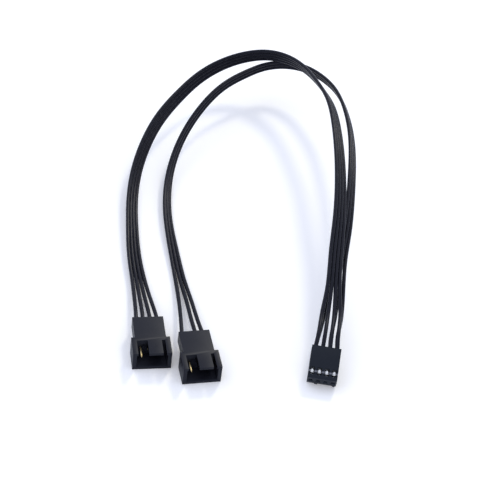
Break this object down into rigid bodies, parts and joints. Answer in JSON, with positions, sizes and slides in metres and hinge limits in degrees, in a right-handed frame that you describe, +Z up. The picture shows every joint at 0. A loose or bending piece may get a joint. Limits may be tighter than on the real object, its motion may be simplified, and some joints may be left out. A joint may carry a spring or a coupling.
{
  "type": "fan splitter cable",
  "caption": "Black splitter lead for case fans: a flat crimp housing at one end, flat ribbons of wire and shrouded male plugs, laid out in a loop.",
  "frame": {"origin": "on the surface that the cable lies on, within 0.3 mm of the middle of the box round the three connectors", "axes": "+X along the row of connectors from the outer male plug to the female housing, +Y from the mating ends towards the wire loop, +Z up"},
  "size_m": [0.0857, 0.1758, 0.0288],
  "materials": {
    "male_plastic": "moulded black nylon, satin",
    "female_plastic": "moulded black nylon, smooth",
    "wire_pvc": "soft black PVC, semi-gloss",
    "pin_brass": "gold-coloured square pin",
    "terminal_tin": "bright tin plate on a formed contact"
  },
  "bodies": {
    "root": {"female_housing": "female_plastic", "female_terminal_4": "terminal_tin", "female_terminal_3": "terminal_tin", "female_terminal_2": "terminal_tin", "female_terminal_1": "terminal_tin", "male_housing_a": "male_plastic", "male_housing_b": "male_plastic", "male_pin_a_4": "pin_brass", "male_pin_a_3": "pin_brass", "male_pin_a_2": "pin_brass", "male_pin_a_1": "pin_brass", "male_pin_b_4": "pin_brass", "male_pin_b_2": "pin_brass", "male_pin_b_1": "pin_brass", "wire_a_pwm": "wire_pvc", "wire_a_sense": "wire_pvc", "wire_a_12v": "wire_pvc", "wire_a_ground": "wire_pvc", "wire_b_pwm": "wire_pvc", "wire_b_12v": "wire_pvc", "wire_b_ground": "wire_pvc"}
  },
  "joints": []
}
